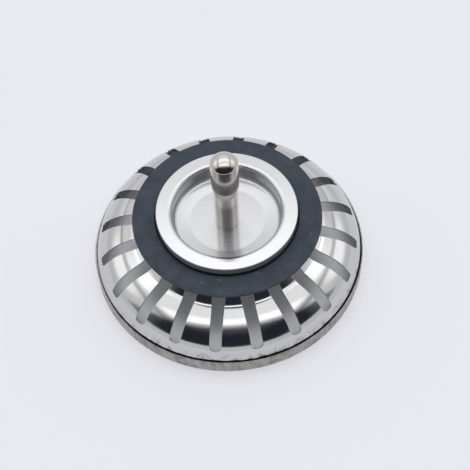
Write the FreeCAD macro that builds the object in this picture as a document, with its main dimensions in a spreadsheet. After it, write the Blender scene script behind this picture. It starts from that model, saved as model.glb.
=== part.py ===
"""Basket strainer plug for a kitchen sink waste, standing on its open rim with the stem up.

Units are millimetres. The origin is at the middle of the rim's lower edge, and +Z is the axis
of the stem. Every piece is round about that axis, apart from the slots and the lock washer's split.
"""
import FreeCAD, Part
import math
import os

import Sketcher

# Driving dimensions
SIZES = {
    # strainer basket: a pressed bowl with a folded rim
    "rim_radius": 40.0,
    "band_height": 5.0,
    "sheet_gauge": 0.6,
    "hem_gap": 0.3,
    "fold_radius": 0.45,
    "dome_arc_radius": 12.2,
    "seat_radius": 22.1,
    "seat_width": 4.3,
    "seat_height": 18.5,
    "neck_run": 4.8,
    "neck_drop": 4.0,
    "recess_depth": 1.6,
    "step_run": 0.8,
    "bend_radius": 0.5,
    # slots in the dome
    "slot_count": 20,
    "slot_width": 3.4,
    "slot_low_inset": 1.3,
    "slot_low_depth": 0.85,
    "slot_top_inset": 1.3,
    "slot_top_depth": 1.2,
    # seal ring
    "seal_radius": 27.4,
    "seal_thickness": 1.85,
    "seal_edge_height": 1.1,
    "seal_bevel_run": 4.8,
    "seal_hub_inset": 0.5,
    "seal_groove_width": 0.7,
    "seal_groove_depth": 0.4,
    "seal_bore_clearance": 0.3,
    # seal retainer: a pressed dish with a flat lip
    "retainer_gauge": 0.8,
    "retainer_height": 6.1,
    "recess_clearance": 0.9,
    "dish_draft": 0.45,
    "dish_bend": 0.4,
    "lip_bend": 0.8,
    "lip_width": 4.65,
    # stem
    "shank_radius": 3.55,
    "shank_length": 17.0,
    "head_step": 0.35,
    "head_length": 12.6,
    "head_chamfer": 0.2,
    "thread_radius": 2.0,
    "thread_engagement": 6.3,
    "thread_chamfer": 0.4,
    "thread_clearance": 0.05,
    "stem_hole_clearance": 0.15,
    # ring in the recess of the stem's foot
    "ring_section": 0.8,
    "ring_clearance": 0.05,
    # washers under the knob
    "washer_radius": 6.0,
    "washer_thickness": 0.8,
    "lock_washer_radius": 3.8,
    "lock_washer_thickness": 1.0,
    "lock_washer_split": 0.8,
    # lifting knob
    "knob_rim_clearance": 2.5,
    "knob_radius": 9.0,
    "knob_collar_radius": 5.2,
    "knob_collar_height": 1.4,
    "knob_waist_arc": 7.0,
    "knob_grip_height": 2.2,
    "knob_crown_height": 2.0,
    "knob_bore_relief": 0.6,
}

doc = FreeCAD.newDocument("StrainerPlug")
sheet = doc.addObject("Spreadsheet::Sheet", "Sizes")
for row, (alias, value) in enumerate(SIZES.items(), start=1):
    sheet.set("A%d" % row, alias)
    sheet.set("B%d" % row, str(value))
    sheet.setAlias("B%d" % row, alias)
doc.recompute()


def size(alias):
    """Expression for one cell of the sheet."""
    return "Sizes." + alias


def worked_out(expression):
    """Present value of an expression, as a plain number."""
    result = sheet.evalExpression(expression)
    return float(getattr(result, "Value", result))


def plus(*terms):
    return "(" + " + ".join(terms) + ")"


def minus(first, *others):
    return "(" + " - ".join((first,) + others) + ")"


def times(*terms):
    return "(" + " * ".join(terms) + ")"


def mitre(run, rise):
    """How far a bent sheet's other side moves along the flat, per unit of its gauge."""
    return "(%s / (sqrt(%s * %s + %s * %s) + %s))" % (rise, run, run, rise, rise, run)


def arc_radius(half_chord, depth):
    """Radius of an arc from half its chord and its depth."""
    return "((%s * %s + %s * %s) / (2 * %s))" % (half_chord, half_chord, depth, depth, depth)


# Heights and radii that several pieces share
ZERO = "0"
AXIS = "0"
GAUGE = size("sheet_gauge")
BAND_INNER = minus(size("rim_radius"), GAUGE)
SKIRT_OUTER = minus(BAND_INNER, size("hem_gap"))
SKIRT_INNER = minus(SKIRT_OUTER, GAUGE)
SEAT_Z = size("seat_height")
STEP_TOP_RADIUS = minus(size("seat_radius"), size("seat_width"))
STEP_RADIUS = minus(STEP_TOP_RADIUS, size("step_run"))
CREASE_RADIUS = plus(size("seat_radius"), size("neck_run"))
CREASE_Z = minus(SEAT_Z, size("neck_drop"))
NECK_MITRE = times(GAUGE, mitre(size("neck_run"), size("neck_drop")))
FLOOR_Z = minus(SEAT_Z, size("recess_depth"))
STEP_MITRE = times(GAUGE, mitre(size("step_run"), size("recess_depth")))
HOLE_RADIUS = plus(size("thread_radius"), size("stem_hole_clearance"))
RETAINER_GAUGE = size("retainer_gauge")
DISH_FLOOR_Z = plus(FLOOR_Z, RETAINER_GAUGE)
LIP_TOP_Z = plus(FLOOR_Z, size("retainer_height"))
LIP_UNDER_Z = minus(LIP_TOP_Z, RETAINER_GAUGE)
DISH_RADIUS = minus(STEP_RADIUS, size("recess_clearance"), RETAINER_GAUGE)
DISH_MOUTH_RADIUS = plus(DISH_RADIUS, size("dish_draft"))
LIP_RADIUS = plus(DISH_MOUTH_RADIUS, size("lip_width"))
DISH_RISE = minus(size("retainer_height"), RETAINER_GAUGE)
DISH_MITRE = times(RETAINER_GAUGE, mitre(size("dish_draft"), DISH_RISE))
SEAL_HUB_RADIUS = minus(LIP_RADIUS, size("seal_hub_inset"))
SEAL_BORE = plus(DISH_MOUTH_RADIUS, DISH_MITRE, size("seal_bore_clearance"))
SEAL_TOP_Z = plus(SEAT_Z, size("seal_thickness"))
WASHER_TOP_Z = minus(FLOOR_Z, GAUGE)
LOCK_WASHER_TOP_Z = minus(WASHER_TOP_Z, size("washer_thickness"))
KNOB_TOP_Z = minus(LOCK_WASHER_TOP_Z, size("lock_washer_thickness"))
TAIL_END_Z = minus(KNOB_TOP_Z, size("thread_engagement"))


def start_body(label):
    body = doc.addObject("PartDesign::Body", label)
    body.Label = label
    return body


def origin_plane(body, role):
    for feature in body.Origin.OriginFeatures:
        if feature.Role == role:
            return feature
    raise RuntimeError("no origin feature " + role)


def start_sketch(body, name, plane):
    sketch = body.newObject("Sketcher::SketchObject", name)
    sketch.AttachmentSupport = (origin_plane(body, plane), [""])
    sketch.MapMode = "FlatFace"
    return sketch


def bind(sketch, constraint, expression):
    """Adds a constraint and ties its size to the sheet."""
    index = sketch.addConstraint(constraint)
    sketch.setExpression("Constraints[%d]" % index, expression)


def arc_between(start, end, radius, turns_left):
    """Arc of under a half circle from start to end."""
    chord = end - start
    middle = (start + end) * 0.5
    rise = math.sqrt(radius * radius - chord.Length ** 2 / 4)
    left = FreeCAD.Vector(-chord.y, chord.x, 0).normalize()
    centre = middle + left * (rise if turns_left else -rise)
    outward = (middle - centre).normalize()
    return Part.Arc(start, centre + outward * radius, end)


def closed_outline(sketch, corners):
    """Draws a closed outline: each corner is (across, up), with an arc to the next one where it has
    (across, up, radius, turns_left)."""
    points = [FreeCAD.Vector(worked_out(c[0]), worked_out(c[1]), 0) for c in corners]
    starts = []
    ends = []
    for number, corner in enumerate(corners):
        here = points[number]
        there = points[(number + 1) % len(points)]
        if len(corner) == 2:
            edge = sketch.addGeometry(Part.LineSegment(here, there))
            starts.append((edge, 1))
            ends.append((edge, 2))
        else:
            radius, turns_left = corner[2:]
            edge = sketch.addGeometry(arc_between(here, there, worked_out(radius), turns_left))
            # a sketched arc always runs anticlockwise, so one that turns right is stored reversed
            starts.append((edge, 1 if turns_left else 2))
            ends.append((edge, 2 if turns_left else 1))
    for number, corner in enumerate(corners):
        after = (number + 1) % len(corners)
        sketch.addConstraint(Sketcher.Constraint("Coincident", *ends[number], *starts[after]))
    for number, corner in enumerate(corners):
        edge, end = starts[number]
        for kind, expression, line in (("DistanceX", corner[0], -2), ("DistanceY", corner[1], -1)):
            if expression == ZERO:
                sketch.addConstraint(Sketcher.Constraint("PointOnObject", edge, end, line))
            else:
                constraint = Sketcher.Constraint(kind, -1, 1, edge, end, worked_out(expression))
                bind(sketch, constraint, expression)
        if len(corner) == 4:
            bind(sketch, Sketcher.Constraint("Radius", edge, worked_out(corner[2])), corner[2])


def turn(body, name, corners):
    """Revolves a half section, given as (radius, height) corners, about the stem's axis."""
    sketch = start_sketch(body, name + "Section", "XZ_Plane")
    closed_outline(sketch, corners)
    turned = body.newObject("PartDesign::Revolution", name)
    turned.Profile = sketch
    turned.ReferenceAxis = (sketch, ["V_Axis"])
    turned.Angle = 360
    sketch.Visibility = False
    doc.recompute()
    return turned


def round_edges(body, name, places, radius):
    """Rounds the circular edges that lie at the given (radius, height) places."""
    base = body.Tip
    wanted = [(worked_out(across), worked_out(up)) for across, up in places]
    names = []
    for number, edge in enumerate(base.Shape.Edges, start=1):
        if not isinstance(edge.Curve, Part.Circle):
            continue
        here = (edge.Curve.Radius, edge.Curve.Center.z)
        if any(math.dist(here, place) < 1e-4 for place in wanted):
            names.append("Edge%d" % number)
    if len(names) != len(places):
        raise RuntimeError("%s found %d of %d edges" % (name, len(names), len(places)))
    fillet = body.newObject("PartDesign::Fillet", name)
    fillet.Base = (base, names)
    fillet.setExpression("Radius", radius)
    doc.recompute()
    return fillet


# Strainer basket
def make_basket():
    body = start_body("strainer_basket")
    under_seat = minus(SEAT_Z, GAUGE)
    under_floor = minus(FLOOR_Z, GAUGE)
    seat_under_radius = minus(size("seat_radius"), NECK_MITRE)
    crease_under = (minus(CREASE_RADIUS, NECK_MITRE), minus(CREASE_Z, GAUGE))
    step_under_radius = plus(STEP_RADIUS, STEP_MITRE)
    step_top_under_radius = plus(STEP_TOP_RADIUS, STEP_MITRE)
    fold = size("fold_radius")
    foot = size("band_height")
    turn(body, "PressedBowl", [
        (HOLE_RADIUS, FLOOR_Z),
        (HOLE_RADIUS, under_floor),
        (step_under_radius, under_floor),
        (step_top_under_radius, under_seat),
        (seat_under_radius, under_seat),
        crease_under + (minus(size("dome_arc_radius"), GAUGE), False),
        (SKIRT_INNER, foot),
        (SKIRT_INNER, fold, fold, True),
        (plus(SKIRT_INNER, fold), ZERO),
        (minus(size("rim_radius"), fold), ZERO, fold, True),
        (size("rim_radius"), fold),
        (size("rim_radius"), foot),
        (BAND_INNER, foot),
        (BAND_INNER, GAUGE),
        (SKIRT_OUTER, GAUGE),
        (SKIRT_OUTER, foot, size("dome_arc_radius"), True),
        (CREASE_RADIUS, CREASE_Z),
        (size("seat_radius"), SEAT_Z),
        (STEP_TOP_RADIUS, SEAT_Z),
        (STEP_RADIUS, FLOOR_Z),
    ])
    bend = size("bend_radius")
    round_edges(body, "BendInside", [
        (CREASE_RADIUS, CREASE_Z),
        (seat_under_radius, under_seat),
        (STEP_RADIUS, FLOOR_Z),
        (step_top_under_radius, under_seat),
    ], bend)
    round_edges(body, "BendOutside", [
        crease_under,
        (size("seat_radius"), SEAT_Z),
        (step_under_radius, under_floor),
        (STEP_TOP_RADIUS, SEAT_Z),
    ], plus(bend, GAUGE))
    cut_slots(body)
    return body


def cut_slots(body):
    """One slot, open along the stem's axis, and its copies round the dome."""
    solid_volume = body.Shape.Volume
    sketch = start_sketch(body, "SlotOutline", "XY_Plane")
    # half a pitch of turn puts the front of the bowl between two slots
    sketch.setExpression("AttachmentOffset.Rotation.Angle", "180 / %s" % size("slot_count"))
    half = "(%s / 2)" % size("slot_width")
    other_half = "(-%s / 2)" % size("slot_width")
    low = minus(SKIRT_OUTER, size("slot_low_inset"), size("slot_low_depth"))
    top = plus(size("seat_radius"), size("slot_top_inset"), size("slot_top_depth"))
    closed_outline(sketch, [
        (top, other_half),
        (low, other_half, arc_radius(half, size("slot_low_depth")), True),
        (low, half),
        (top, half, arc_radius(half, size("slot_top_depth")), True),
    ])
    slot = body.newObject("PartDesign::Pocket", "Slot")
    slot.Profile = sketch
    slot.Type = "ThroughAll"
    slot.Reversed = True
    sketch.Visibility = False
    doc.recompute()
    if body.Shape.Volume > solid_volume - 1:
        raise RuntimeError("the slot cut nothing")
    slots = body.newObject("PartDesign::PolarPattern", "Slots")
    slots.Originals = [slot]
    slots.Axis = (sketch, ["N_Axis"])
    slots.Angle = 360
    slots.setExpression("Occurrences", size("slot_count"))
    body.Tip = slots
    doc.recompute()


# Seal ring
def make_seal():
    body = start_body("seal_ring")
    groove_z = minus(SEAL_TOP_Z, size("seal_groove_depth"))
    groove_outer = plus(SEAL_HUB_RADIUS, size("seal_groove_width"))
    turn(body, "MouldedRing", [
        (SEAL_BORE, LIP_UNDER_Z),
        (SEAL_BORE, SEAT_Z),
        (minus(size("seal_radius"), size("seal_bevel_run")), SEAT_Z),
        (size("seal_radius"), minus(SEAL_TOP_Z, size("seal_edge_height"))),
        (size("seal_radius"), SEAL_TOP_Z),
        (groove_outer, SEAL_TOP_Z),
        (groove_outer, groove_z),
        (SEAL_HUB_RADIUS, groove_z),
        (SEAL_HUB_RADIUS, LIP_UNDER_Z),
    ])
    return body


# Seal retainer
def make_retainer():
    body = start_body("seal_retainer")
    dish_outer = plus(DISH_RADIUS, DISH_MITRE)
    turn(body, "PressedDish", [
        (HOLE_RADIUS, DISH_FLOOR_Z),
        (HOLE_RADIUS, FLOOR_Z),
        (dish_outer, FLOOR_Z),
        (plus(DISH_MOUTH_RADIUS, DISH_MITRE), LIP_UNDER_Z),
        (LIP_RADIUS, LIP_UNDER_Z),
        (LIP_RADIUS, LIP_TOP_Z),
        (DISH_MOUTH_RADIUS, LIP_TOP_Z),
        (DISH_RADIUS, DISH_FLOOR_Z),
    ])
    round_edges(body, "FloorBendInside", [(DISH_RADIUS, DISH_FLOOR_Z)], size("dish_bend"))
    round_edges(body, "FloorBendOutside", [(dish_outer, FLOOR_Z)],
                plus(size("dish_bend"), RETAINER_GAUGE))
    round_edges(body, "LipBend", [(DISH_MOUTH_RADIUS, LIP_TOP_Z)], size("lip_bend"))
    return body


# Stem
def make_stem():
    body = start_body("stem")
    shank = size("shank_radius")
    head = plus(shank, size("head_step"))
    thread = size("thread_radius")
    shoulder_z = plus(DISH_FLOOR_Z, size("shank_length"))
    top_z = plus(shoulder_z, size("head_length"))
    recess_radius = plus(thread, size("ring_section"), size("ring_clearance"), size("ring_clearance"))
    recess_z = plus(DISH_FLOOR_Z, size("ring_section"))
    turn(body, "TurnedPin", [
        (AXIS, TAIL_END_Z),
        (minus(thread, size("thread_chamfer")), TAIL_END_Z),
        (thread, plus(TAIL_END_Z, size("thread_chamfer"))),
        (thread, recess_z),
        (recess_radius, recess_z),
        (recess_radius, DISH_FLOOR_Z),
        (shank, DISH_FLOOR_Z),
        (shank, shoulder_z),
        (minus(head, size("head_chamfer")), shoulder_z),
        (head, plus(shoulder_z, size("head_chamfer"))),
        (head, minus(top_z, head), head, True),
        (AXIS, top_z),
    ])
    return body


# Ring in the recess of the stem's foot
def make_stem_ring():
    ring = doc.addObject("Part::Torus", "stem_o_ring")
    ring.Label = "stem_o_ring"
    half_section = "(%s / 2)" % size("ring_section")
    ring.setExpression("Radius1", plus(size("thread_radius"), size("ring_clearance"), half_section))
    ring.setExpression("Radius2", half_section)
    ring.setExpression("Placement.Base.z", plus(DISH_FLOOR_Z, half_section))
    doc.recompute()
    return ring


# Washers under the knob
def make_washer(label, outer, thickness, top_z):
    body = start_body(label)
    turn(body, label.title().replace("_", ""), [
        (HOLE_RADIUS, top_z),
        (HOLE_RADIUS, minus(top_z, thickness)),
        (outer, minus(top_z, thickness)),
        (outer, top_z),
    ])
    return body


def make_lock_washer():
    body = make_washer("lock_washer", size("lock_washer_radius"), size("lock_washer_thickness"),
                       LOCK_WASHER_TOP_Z)
    whole_volume = body.Shape.Volume
    sketch = start_sketch(body, "SplitOutline", "XY_Plane")
    half = "(%s / 2)" % size("lock_washer_split")
    other_half = "(-%s / 2)" % size("lock_washer_split")
    beyond = plus(size("lock_washer_radius"), size("lock_washer_split"))
    closed_outline(sketch, [(AXIS, other_half), (beyond, other_half), (beyond, half), (AXIS, half)])
    split = body.newObject("PartDesign::Pocket", "Split")
    split.Profile = sketch
    split.Type = "ThroughAll"
    split.Reversed = True
    sketch.Visibility = False
    doc.recompute()
    if body.Shape.Volume > whole_volume - 0.1:
        raise RuntimeError("the split cut nothing")
    return body


# Lifting knob
def make_knob():
    body = start_body("lifting_knob")
    bore = plus(size("thread_radius"), size("thread_clearance"))
    collar_z = minus(KNOB_TOP_Z, size("knob_collar_height"))
    bottom_z = size("knob_rim_clearance")
    crown_z = plus(bottom_z, size("knob_crown_height"))
    grip_z = plus(crown_z, size("knob_grip_height"))
    knob = size("knob_radius")
    turn(body, "TurnedKnob", [
        (bore, KNOB_TOP_Z),
        (bore, minus(TAIL_END_Z, size("knob_bore_relief"))),
        (AXIS, minus(TAIL_END_Z, size("knob_bore_relief"))),
        (AXIS, bottom_z, arc_radius(knob, size("knob_crown_height")), True),
        (knob, crown_z),
        (knob, grip_z, size("knob_waist_arc"), False),
        (size("knob_collar_radius"), collar_z),
        (size("knob_collar_radius"), KNOB_TOP_Z),
    ])
    return body


def check_and_export(pieces):
    """Writes each piece, once every object of the document is sound."""
    doc.recompute()
    for item in doc.Objects:
        if "Invalid" in item.State or "Error" in item.State:
            raise RuntimeError("%s failed: %s" % (item.Name, item.State))
    for piece in pieces:
        shape = piece.Shape
        if shape.isNull() or not shape.isValid() or len(shape.Solids) != 1:
            raise RuntimeError(piece.Label + " has no sound solid")
    os.makedirs("parts", exist_ok=True)
    for piece in pieces:
        piece.Shape.exportStep("parts/%s.step" % piece.Label)
        box = piece.Shape.optimalBoundingBox()
        print("%-16s volume %8.1f  z %.2f to %.2f  radius %.2f"
              % (piece.Label, piece.Shape.Volume, box.ZMin, box.ZMax, box.XMax))


check_and_export([
    make_basket(),
    make_seal(),
    make_retainer(),
    make_stem(),
    make_stem_ring(),
    make_washer("knob_washer", size("washer_radius"), size("washer_thickness"), WASHER_TOP_Z),
    make_lock_washer(),
    make_knob(),
])
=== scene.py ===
"""Basket strainer plug for a kitchen sink waste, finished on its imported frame.

Each piece is pressed, turned or moulded again here as a finer mesh, in the place that its node has in the
frame. Lengths are metres, +Z is the stem's axis, and the camera stands towards -Y.
"""

import math

import bpy
from bpy.props import FloatProperty, FloatVectorProperty, IntProperty, PointerProperty
from bpy.types import Node, NodeSocket, Operator, Panel, PropertyGroup
from mathutils import Matrix, Vector, geometry


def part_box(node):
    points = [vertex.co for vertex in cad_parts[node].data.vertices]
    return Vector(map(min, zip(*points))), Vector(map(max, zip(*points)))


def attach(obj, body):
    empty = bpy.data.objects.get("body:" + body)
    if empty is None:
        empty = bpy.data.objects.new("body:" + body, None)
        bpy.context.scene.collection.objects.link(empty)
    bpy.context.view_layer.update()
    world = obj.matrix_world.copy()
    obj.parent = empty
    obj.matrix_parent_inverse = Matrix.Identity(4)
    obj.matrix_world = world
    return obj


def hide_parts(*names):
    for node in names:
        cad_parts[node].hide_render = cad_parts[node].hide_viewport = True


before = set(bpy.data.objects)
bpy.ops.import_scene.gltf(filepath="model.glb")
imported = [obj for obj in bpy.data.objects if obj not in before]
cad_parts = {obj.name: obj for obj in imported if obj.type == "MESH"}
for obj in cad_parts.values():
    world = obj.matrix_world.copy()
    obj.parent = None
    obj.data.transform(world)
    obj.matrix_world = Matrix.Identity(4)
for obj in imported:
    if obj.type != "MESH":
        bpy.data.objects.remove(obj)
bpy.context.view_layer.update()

bl_info = {
    "name": "Sink strainer plug",
    "version": (1, 0, 0),
    "blender": (4, 5, 0),
    "location": "View3D > Sidebar > Strainer",
    "description": "Builds the finished surfaces of a basket strainer plug on its packed frame",
    "category": "Mesh",
}

MM = 0.001

# Fineness of the meshes
TURN_STEPS = 160
RIB_COLUMNS = 8
SLOT_END_STEPS = 8
THREAD_STEPS = 48
THREAD_ROWS = 12
THREAD_CREASE = math.radians(50)
ARC_STEP = math.radians(9)
SAME_PLACE = 1e-7

# Studio's floor, and the ring of light painted on it where the light falls through the slots
FLOOR_REACH = 2.0
PAINTED_SLOT_LIGHT_INSIDE = 24 * MM
PAINTED_SLOT_LIGHT_MIDDLE = 32 * MM
PAINTED_SLOT_LIGHT_OUTSIDE = 38 * MM

# Side of the basket on which residue gathers, and on which the shade painted along the fold lies
STAIN_AND_SHADE_SIDE = (0.34, -0.94, 0)


def extent(node):
    """Outer radius, lowest height and highest height of a round node."""
    low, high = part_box(node)
    return -low.x, low.z, high.z


RIM_RADIUS, RIM_Z, SEAT_Z = extent("strainer_basket")
SEAL_RADIUS, SEAL_Z, HUB_Z = extent("seal_ring")
LIP_RADIUS, FLOOR_Z, LIP_Z = extent("seal_retainer")
HEAD_RADIUS, TAIL_Z, HEAD_Z = extent("stem")
RING_RADIUS, RING_Z, _ = extent("stem_o_ring")
WASHER_RADIUS, WASHER_Z, WASHER_TOP_Z = extent("knob_washer")
LOCK_RADIUS, LOCK_Z, LOCK_TOP_Z = extent("lock_washer")
KNOB_RADIUS, KNOB_Z, KNOB_TOP_Z = extent("lifting_knob")


def linear(code):
    """Linear red, green, blue and alpha of an sRGB hex value."""
    shares = [int(code[place:place + 2], 16) / 255 for place in (1, 3, 5)]
    return [s / 12.92 if s <= 0.04045 else ((s + 0.055) / 1.055) ** 2.4 for s in shares] + [1.0]


def length(name, description, default):
    return FloatProperty(name=name, description=description, default=default, subtype="DISTANCE",
                         unit="LENGTH", precision=5)


def amount(name, description, default, subtype="NONE"):
    return FloatProperty(name=name, description=description, default=default, subtype=subtype)


def angle(name, description, degrees):
    return FloatProperty(name=name, description=description, default=math.radians(degrees),
                         subtype="ANGLE", unit="ROTATION")


def colour(name, description, code):
    return FloatVectorProperty(name=name, description=description, default=linear(code), size=4,
                               subtype="COLOR", min=0.0, max=1.0)


class BasketSizes(PropertyGroup):
    """Pressed bowl with a folded rim and slots in its dome."""
    rim_radius: length("Rim radius", "Outside of the folded band", RIM_RADIUS)
    band_height: length("Band height", "Height of the folded band", 5.0 * MM)
    gauge: length("Gauge", "Thickness of the sheet", 0.5 * MM)
    hem_gap: length("Hem gap", "Gap between the band and the skirt that it is folded from", 0.06 * MM)
    dome_radius: length("Dome radius", "Radius of the dome's section", 12.4 * MM)
    dome_slope: angle("Dome slope", "Slope of the dome's straight upper part", 15.0)
    seat_radius: length("Seat radius", "Outer edge of the flat that the seal lies on", 22.9 * MM)
    seat_width: length("Seat width", "Width of that flat", 5.1 * MM)
    step_run: length("Step run", "Width of the slope down to the recess", 0.8 * MM)
    neck_run: length("Neck run", "Width of the slope between seat and dome", 4.3 * MM)
    neck_drop: length("Neck drop", "Height of the slope between seat and dome", 3.5 * MM)
    bend: length("Bend", "Radius inside a bend of the sheet", 0.5 * MM)
    crease_bend: length("Crease bend", "Radius of the crease between neck and dome", 1.8 * MM)
    ledge: length("Ledge", "Width of the narrow ledge outside that crease", 1.2 * MM)
    ledge_slope: angle("Ledge slope", "Slope of that ledge", 11.5)
    ledge_bend: length("Ledge bend", "Radius between the ledge and the dome", 6.0 * MM)
    slot_count: IntProperty(name="Slots", description="Slots round the dome", default=20, min=3)
    slot_width: length("Slot width", "Width of a slot at half its length", 3.4 * MM)
    slot_taper: length("Slot taper", "How much wider a slot is at its upper end", 0.4 * MM)
    slot_inset: length("Slot inset", "From a slot's end to the seat, or to the skirt, in plan", 1.3 * MM)
    edge_break: length("Edge break", "Rounding along the cut edges of the sheet", 0.15 * MM)


class SealSizes(PropertyGroup):
    """Moulded ring with a flat flap and a hub under the retainer's lip."""
    radius: length("Radius", "Outer edge of the flap", SEAL_RADIUS)
    thickness: length("Thickness", "Height of the flap above the seat", 1.85 * MM)
    edge_height: length("Edge height", "Height of the flap's edge", 0.6 * MM)
    bevel_run: length("Bevel run", "Width of the bevel under the flap", 4.8 * MM)
    hub_radius: length("Hub radius", "Outside of the hub at its foot", 20.4 * MM)
    hub_draft: length("Hub draft", "How far the hub narrows to its top", 0.2 * MM)
    bore_radius: length("Bore radius", "Inside of the hub", 16.79 * MM)
    groove_width: length("Groove width", "Width of the groove round the hub", 0.5 * MM)
    groove_depth: length("Groove depth", "Depth of the groove round the hub", 0.5 * MM)
    rounding: length("Rounding", "Radius of the moulded edges", 0.25 * MM)


class RetainerSizes(PropertyGroup):
    """Pressed dish with a flat lip that holds the seal down."""
    lip_radius: length("Lip radius", "Outer edge of the lip", LIP_RADIUS)
    gauge: length("Gauge", "Thickness of the sheet", 0.8 * MM)
    dish_radius: length("Dish radius", "Radius of the dish's floor", 15.5 * MM)
    floor_run: length("Floor run", "Breadth of the floor's rising edge", 4.6 * MM)
    floor_rise: length("Floor rise", "How far the floor rises to its wall", 0.3 * MM)
    dish_draft: length("Dish draft", "How far the wall leans out", 0.3 * MM)
    floor_bend: length("Floor bend", "Radius between floor and wall", 1.2 * MM)
    lip_bend: length("Lip bend", "Radius between wall and lip", 1.2 * MM)
    edge_break: length("Edge break", "Rounding of the lip's cut edge", 0.3 * MM)


class StemSizes(PropertyGroup):
    """Turned pin with a round head, a threaded tail and a sealing ring at its foot."""
    head_radius: length("Head radius", "Radius of the head", HEAD_RADIUS)
    shoulder_drop: length("Shoulder drop", "From the stem's top in the frame to the shoulder", 12.6 * MM)
    head_length: length("Head length", "Height of the head with its domed end", 12.2 * MM)
    cap_radius: length("Cap radius", "Radius of the head's domed end", 4.6 * MM)
    cap_rounding: length("Cap rounding", "Rounding of the domed end's edge", 0.25 * MM)
    head_chamfer: length("Head chamfer", "Chamfer under the head", 0.2 * MM)
    shank_radius: length("Shank radius", "Radius of the shank", 3.55 * MM)
    foot_rounding: length("Foot rounding", "Rounding of the shank's foot", 0.1 * MM)
    recess_radius: length("Recess radius", "Recess for the sealing ring", 2.9 * MM)
    recess_depth: length("Recess depth", "Depth of that recess", 0.8 * MM)
    thread_radius: length("Thread radius", "Outside of the thread", 2.0 * MM)
    thread_pitch: length("Thread pitch", "Climb of the thread in one turn", 0.7 * MM)
    thread_depth: length("Thread depth", "Depth of the thread", 0.43 * MM)
    thread_chamfer: length("Thread chamfer", "Chamfer at the end of the thread", 0.4 * MM)
    ring_section: length("Ring section", "Thickness of the sealing ring", 0.8 * MM)


class KnobSizes(PropertyGroup):
    """Turned knob in the bowl, with the two washers above it."""
    radius: length("Radius", "Radius of the grip", KNOB_RADIUS)
    collar_radius: length("Collar radius", "Radius of the collar", 5.2 * MM)
    collar_height: length("Collar height", "Height of the collar", 1.4 * MM)
    waist_arc: length("Waist arc", "Radius of the hollow waist", 7.0 * MM)
    grip_height: length("Grip height", "Height of the grip", 2.2 * MM)
    crown_height: length("Crown height", "Height of the domed end", 2.0 * MM)
    bore_radius: length("Bore radius", "Radius of the threaded bore", 2.05 * MM)
    bore_depth: length("Bore depth", "Depth of the threaded bore", 6.9 * MM)
    hole_radius: length("Hole radius", "Hole for the stem in the sheets and washers", 2.15 * MM)
    split_width: length("Split width", "Width of the lock washer's split", 0.8 * MM)
    edge_break: length("Edge break", "Rounding of the turned and stamped edges", 0.15 * MM)


class FinishColours(PropertyGroup):
    """Colours of the finishes."""
    buffed: colour("Buffed steel", "Buffed stainless steel of the dome", "#CECECF")
    band: colour("Band steel", "Satin stainless steel of the folded band", "#BAB4B2")
    satin: colour("Satin steel", "Satin stainless steel of the retainer's lip", "#CECFD1")
    drawn: colour("Drawn steel", "Duller stainless steel of its drawn dish", "#C7C8CB")
    turned: colour("Turned steel", "Turned stainless steel of stem and knob", "#CAC5C0")
    spring: colour("Spring steel", "Spring stainless steel of the lock washer", "#A8A39E")
    stain: colour("Stain", "Dried polish and marks on the steel", "#57504A")
    # painted shade: the colour of the dark line painted along the fold's gap
    fold_shade: colour("Grime", "Dark residue along the fold", "#1F1D1C")
    rubber: colour("Seal rubber", "Blue-grey nitrile rubber of the seal", "#373F4A")
    rubber_bloom: colour("Rubber bloom", "Paler bloom on the seal", "#434C58")
    # painted light and shade: paler up the hub's side, dark in the groove round it under the lip
    painted_hub_light: colour("Rubber hub", "Chalky bloom on the seal's hub", "#757D88")
    painted_groove_shade: colour("Rubber groove", "Wet dark rubber in the groove round the hub", "#1D2025")
    dust: colour("Dust", "Dust on the seal", "#9AA3AD")
    ring: colour("Ring rubber", "Black rubber of the sealing ring", "#17181A")


class StudioSettings(PropertyGroup):
    """Floor, light tent and camera."""
    floor: colour("Floor", "Pale floor", "#EDEFF4")
    glow: amount("Glow", "Brightness of the light table under the board", 1.03)
    floor_glow: amount("Floor glow", "Share of the floor that shows no shade", 0.56, "FACTOR")
    # painted light: the glow's share in the ring under the slots
    inner_glow: amount("Inner glow", "The same share in the light under the slots", 0.25, "FACTOR")
    backdrop: amount("Backdrop", "Brightness of the plain backdrop past the floor", 0.95)
    room: colour("Room", "Dim room past the tent's open front", "#282C33")
    room_top: colour("Room top", "Its paler upper part", "#53565C")
    light: amount("Light", "Brightness of the tent as a whole", 1.05)
    foot: amount("Foot", "Brightness of the cloth at the floor", 0.68)
    cloth: amount("Cloth", "Brightness of the side cloth higher up", 0.78)
    back: amount("Back", "Brightness of the back cloth higher up", 1.0)
    roof: amount("Roof", "Brightness of the roof between its lamps", 1.1)
    front: amount("Front", "Brightness of the front lamp overhead", 1.6)
    rear: amount("Rear", "Brightness of the rear lamp overhead", 1.6)
    side: amount("Side", "Brightness of the side lamps", 1.3)
    lens_pixels: amount("Lens", "Focal length, in pixels of the image", 1100.0)
    image_pixels: IntProperty(name="Image", description="Width of the image in pixels", default=470)
    distance: length("Distance", "From the camera to the rim's plane, along its axis", 333.47 * MM)
    aside: length("Aside", "How far the camera's axis passes right of the rim's middle", 1.75 * MM)
    above: length("Above", "How far the camera's axis passes above the rim's middle", 5.32 * MM)
    elevation: angle("Elevation", "Height of the camera above the floor", 56.43)
    roll: angle("Roll", "Tilt of the image", -2.88)
    heading: angle("Heading", "Turn of the camera about the stem", -1.25)


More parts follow.
